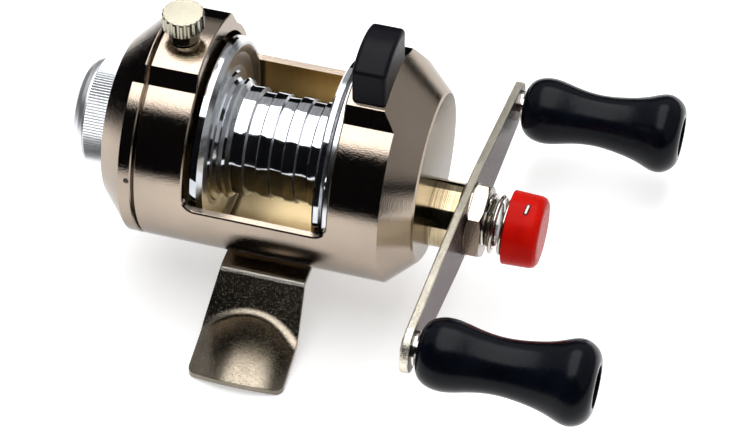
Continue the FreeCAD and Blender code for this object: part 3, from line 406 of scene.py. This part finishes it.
# Drive bush: its collar stands out of the end face, plated golden and left with the
# lathe's rings.
collar_gilt = turned_metal(
    "collar_gilt", (0.27, 0.21, 0.12), (0.52, 0.43, 0.28), 0.06, DRIVE_AXIS, 0.22, 0.000014, 0.1)
dressed(collar_gilt, "drive_bush")


# Crank: an arm sheared from steel strip and plated pale, its outer face darkened as
# painted shade, a washer, a hexagon nut and the threaded end of the hollow shaft. The
# grips' spindles are riveted in the arm.
arm_nickel = plating(
    "arm_nickel", (0.66, 0.61, 0.49), (0.88, 0.83, 0.70), 0.34, 3600.0, 0.00003, 110.0,
    edge=0.12, glance=0.4, pits=0.14)
tree = arm_nickel.node_tree
faces = add(tree, "ShaderNodeTexCoord").outputs["Normal"]
side = add(tree, "ShaderNodeSeparateXYZ", {"Vector": faces}).outputs["X"]
# Painted shade: the face towards +X, the arm's outer face, gets a dark tone and more gloss.
patched(arm_nickel, spread(tree, side, 0.75, 0.95, 1.0, 0.0), (0.29, 0.23, 0.235), 0.2)
dressed(arm_nickel, "crank_arm")

nut_nickel = plating(
    "nut_nickel", (0.42, 0.36, 0.29), (0.56, 0.50, 0.42), 0.13, 4200.0, 0.000012, edge=0.12)
tree = nut_nickel.node_tree
faces = add(tree, "ShaderNodeTexCoord").outputs["Normal"]
rise = add(tree, "ShaderNodeSeparateXYZ", {"Vector": faces}).outputs["Z"]
# Painted shade: the nut's and the washer's faces that do not face up get a dark tone.
patched(nut_nickel, spread(tree, rise, 0.35, 0.85), (0.17, 0.13, 0.10), 0.16)
dressed(nut_nickel, "drive_nut", "lock_washer")

thread_steel = turned_metal(
    "thread_steel", (0.60, 0.57, 0.52), (0.78, 0.75, 0.70), 0.14, DRIVE_AXIS, 0.2, 0.000003)
dressed(thread_steel, "drive_shaft", "knob_spindles")


# Return spring: bright nickel-plated wire, wound three and a half times round the
# drive axis between the nut and the button. It shortens as the button is pressed.
SPRING_TURNS = 3.5
SPRING_COIL_R = 4.02
SPRING_WIRE_R = 0.3
SPRING_X0, SPRING_X1 = 30.92, 35.68  # first and last middle of the wire, mm


def wound_wire(name, turns, coil_radius, wire_radius, x0, x1):
    """Wire wound round the drive axis, as a closed tube.

    Rows follow its middle line, which goes round at one distance and along X evenly. Each is a
    circle in the plane of X and the way from the axis, and past both ends it shrinks to a point.
    """
    along = np.concatenate([[0.0], np.linspace(0.0, 1.0, int(48 * turns) + 1), [1.0]])[:, None]
    wire = np.full(along.shape, wire_radius)
    wire[[0, -1]] = 0.0
    a = np.linspace(0.0, 2.0 * math.pi, 15)[None, :-1]
    turn = 2.0 * math.pi * turns * along
    reach = coil_radius + wire * np.cos(a)
    x = x0 + (x1 - x0) * along + wire * np.sin(a)
    y = DRIVE_AXIS[0] + reach * np.sin(turn)
    z = DRIVE_AXIS[1] + reach * np.cos(turn)
    coil = surface(name, np.stack([x, y, z], -1), close_columns=True)
    joined = bmesh.new()
    joined.from_mesh(coil.data)
    bmesh.ops.remove_doubles(joined, verts=joined.verts, dist=1e-7)
    joined.to_mesh(coil.data)
    joined.free()
    coil.data.shade_smooth()
    return coil


spring_wire = plating("spring_wire", (0.50, 0.47, 0.42), (0.66, 0.63, 0.58), 0.12, 6000.0, 0.000003)
spring = wound_wire(
    "spring_coil", SPRING_TURNS, SPRING_COIL_R, SPRING_WIRE_R, SPRING_X0, SPRING_X1)
spring.data.materials.append(spring_wire)
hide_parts("return_spring")
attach(spring, "crank")
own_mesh(spring)


# Release button: moulded in red plastic, smooth and softly glossy, pushed on the end
# of the rod. On its side lies a short dark patch, painted shade for a slot, with a
# small pale mark on it.
def moulded(name, dark, light, roughness, specular, orange_peel=0.000003):
    """Moulded plastic: slight clouding of the colour and a faint orange-peel skin."""
    finish, tree, shader, place = finish_nodes(name, Specular_IOR_Level=specular)
    cloud = spread(tree, noise(tree, place, 260.0, 3.0), 0.3, 0.7)
    tree.links.new(blend(tree, cloud, dark, light), shader.inputs["Base Color"])
    skin = noise(tree, place, 1400.0, 3.0)
    gloss = spread(tree, skin, 0.3, 0.7, roughness - 0.04, roughness + 0.05)
    tree.links.new(gloss, shader.inputs["Roughness"])
    bump = add(tree, "ShaderNodeBump", {"Height": skin, "Strength": 1.0, "Distance": orange_peel})
    soft = add(tree, "ShaderNodeBevel", {"Radius": 0.25 * MM}, samples=4)
    tree.links.new(soft.outputs[0], bump.inputs["Normal"])
    tree.links.new(bump.outputs["Normal"], shader.inputs["Normal"])
    return finish


button_red = moulded("button_red", (0.44, 0.003, 0.001), (0.56, 0.006, 0.002), 0.3, 0.05)
dressed(button_red, "release_button")


BUTTON_R = 5.3
SLOT_X = 36.45  # middle of the slot, mm
SLOT_TURN = -10.0  # how far in front of the button's top it lies, degrees
SLOT_LEAN = 0.08  # how far its ends lean along X, mm


def side_patch(name, half_width, half_length, lift):
    """Rounded patch on the button's side, in front of its top.

    Each row runs along X; the rows follow one another round the drive axis. Half circles round
    off both ends, and the patch rises by its lift in the middle and sinks under at its rim.
    """
    v = np.linspace(-0.985, 0.985, 25)[:, None] * half_length
    u = np.linspace(-1.0, 1.0, 13)[None, :]
    past = np.maximum(np.abs(v) - (half_length - half_width), 0.0) / half_width
    width = half_width * np.sqrt(1.0 - past ** 2)
    radius = BUTTON_R + lift - 2.0 * lift * np.maximum(np.abs(u), past) ** 6
    angle = math.radians(SLOT_TURN) + v / BUTTON_R
    x = SLOT_X + u * width + SLOT_LEAN * v / half_length
    y = DRIVE_AXIS[0] + radius * np.sin(angle)
    z = DRIVE_AXIS[1] + radius * np.cos(angle)
    patch = surface(name, np.stack([x, y, z], -1))
    patch.data.shade_smooth()
    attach(patch, "button")
    return patch


# Painted shade: the slot is a dark patch a hair over the side, with a small pale mark on it.
slot_shade = moulded("slot_shade", (0.03, 0.001, 0.001), (0.06, 0.002, 0.002), 0.5, 0.1)
side_patch("button_slot", 0.33, 0.98, 0.012).data.materials.append(slot_shade)
slot_pale_mark = moulded("slot_pale_mark", (0.78, 0.77, 0.74), (0.86, 0.85, 0.83), 0.4, 0.3)
side_patch("button_slot_pin", 0.19, 0.80, 0.03).data.materials.append(slot_pale_mark)


# Grips: turned-look plastic grips, satin black, free on their spindles.
grip_black = moulded("grip_black", (0.001, 0.0015, 0.0035), (0.0025, 0.0035, 0.0065), 0.22, 0.11, 0.00001)
dressed(grip_black, "crank_knob_front", "crank_knob_rear")


# Switch block: moulded black plastic with a crowned top, slides on the pad.
switch_black = moulded("switch_black", (0.003, 0.003, 0.005), (0.005, 0.005, 0.008), 0.34, 0.08)
dressed(switch_black, "switch_block")
